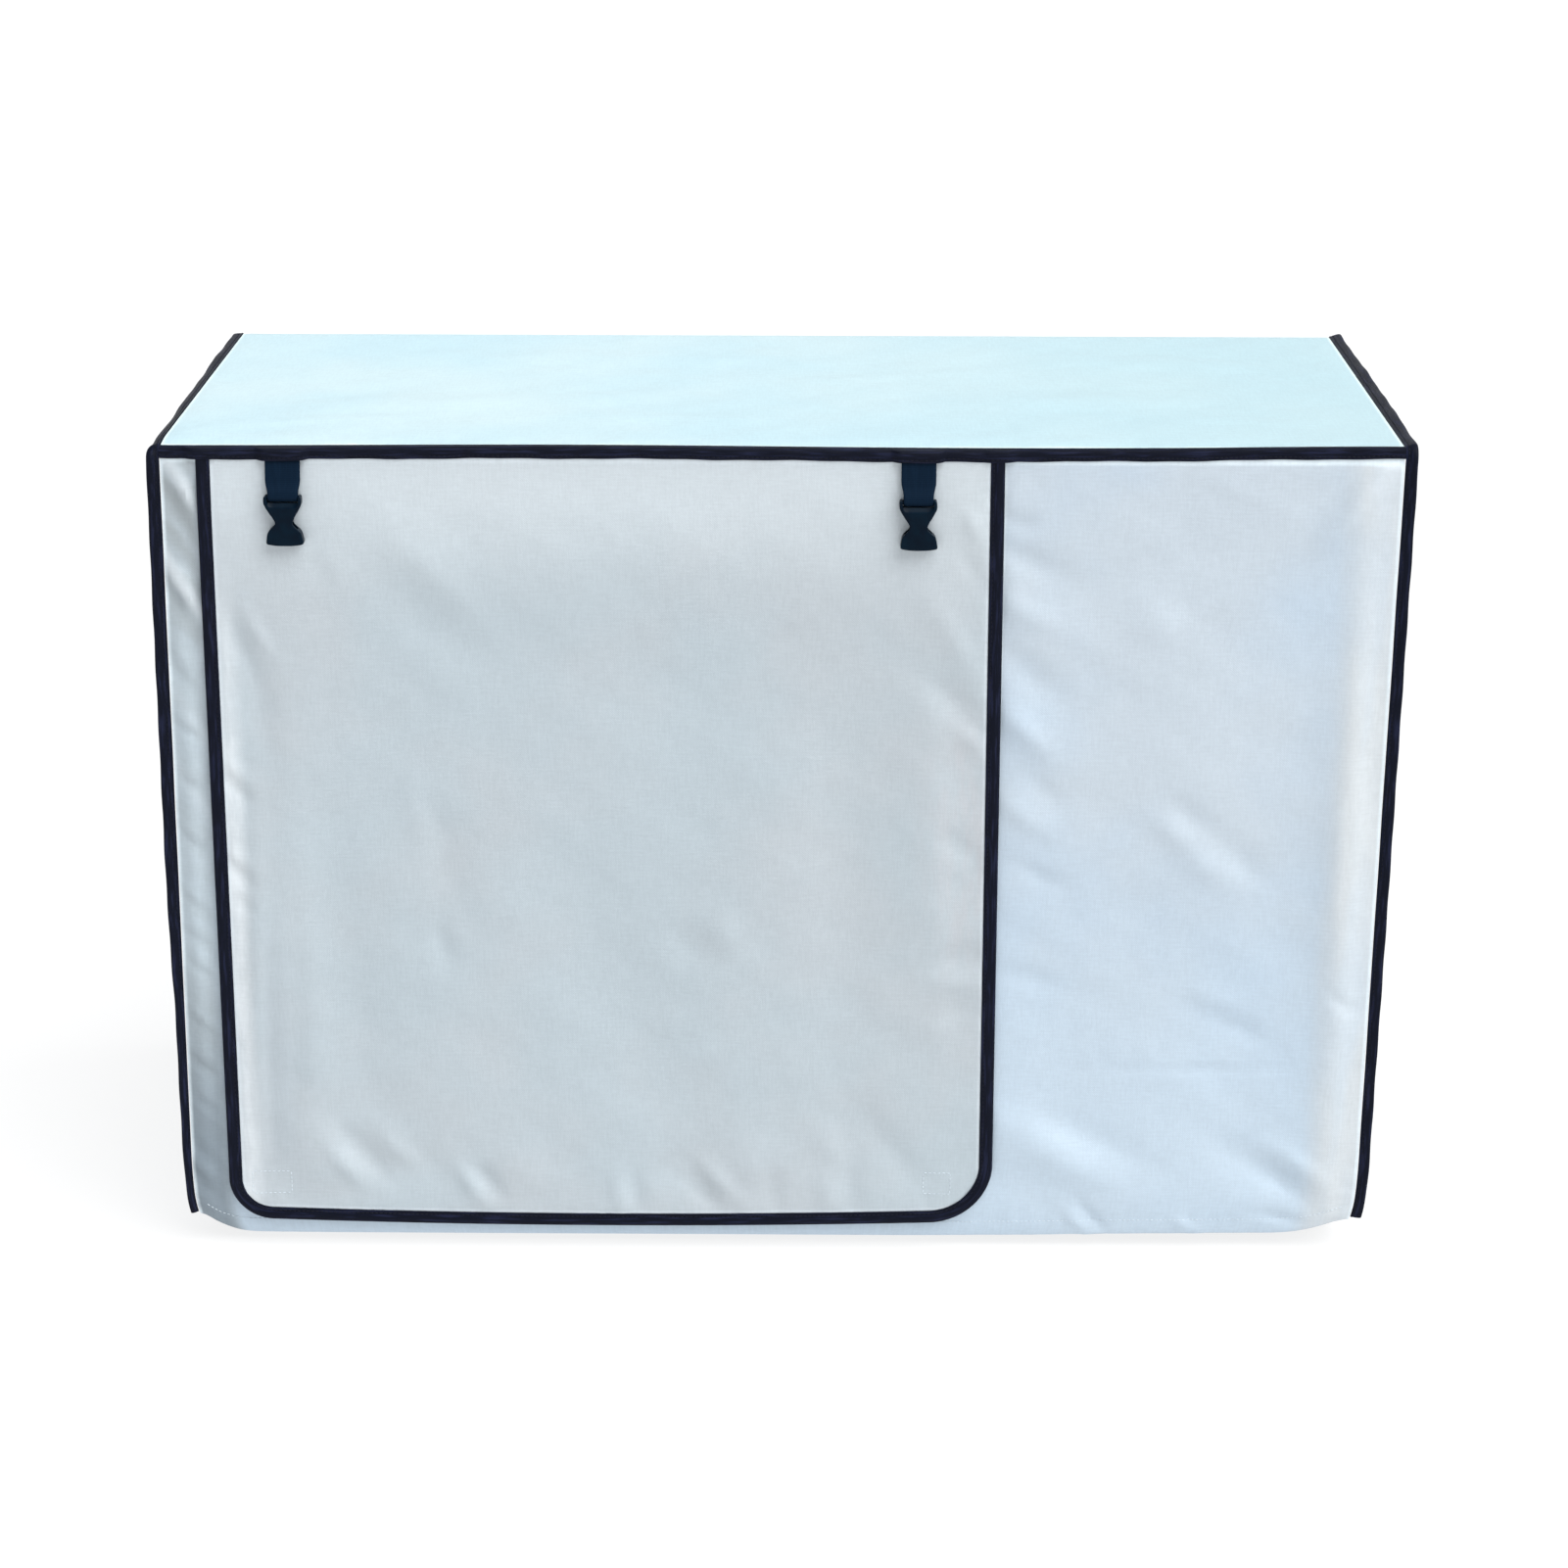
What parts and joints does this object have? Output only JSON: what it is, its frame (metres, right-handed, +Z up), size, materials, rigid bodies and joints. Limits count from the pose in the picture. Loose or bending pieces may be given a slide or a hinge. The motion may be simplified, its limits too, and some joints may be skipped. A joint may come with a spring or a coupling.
{
  "type": "air conditioner cover",
  "caption": "Box-shaped silver cloth cover, open below, with black bound seams, a bound front flap that rolls up, and webbing straps with buckle sockets.",
  "frame": {"origin": "middle of the underside of the top panel, where the cover rests on the unit", "axes": "+X to the right seen from the front, -Y to the front where the flap hangs, +Z up"},
  "size_m": [0.8635, 0.4002, 0.5903],
  "materials": {
    "silver_cloth": "silver-coated oxford cloth, soft satin",
    "black_tape": "woven binding tape, dull",
    "dark_webbing": "ribbed webbing, dull",
    "dark_plastic": "moulded plastic, slight sheen"
  },
  "bodies": {
    "root": {"front_panel": "silver_cloth", "left_side_panel": "silver_cloth", "right_side_panel": "silver_cloth", "top_back_panel": "silver_cloth", "flap": "silver_cloth", "flap_binding": "black_tape", "front_top_tape": "black_tape", "left_side_binding": "black_tape", "right_side_binding": "black_tape", "left_strap": "dark_webbing", "right_strap": "dark_webbing", "left_buckle_socket": "dark_plastic", "right_buckle_socket": "dark_plastic"}
  },
  "joints": []
}
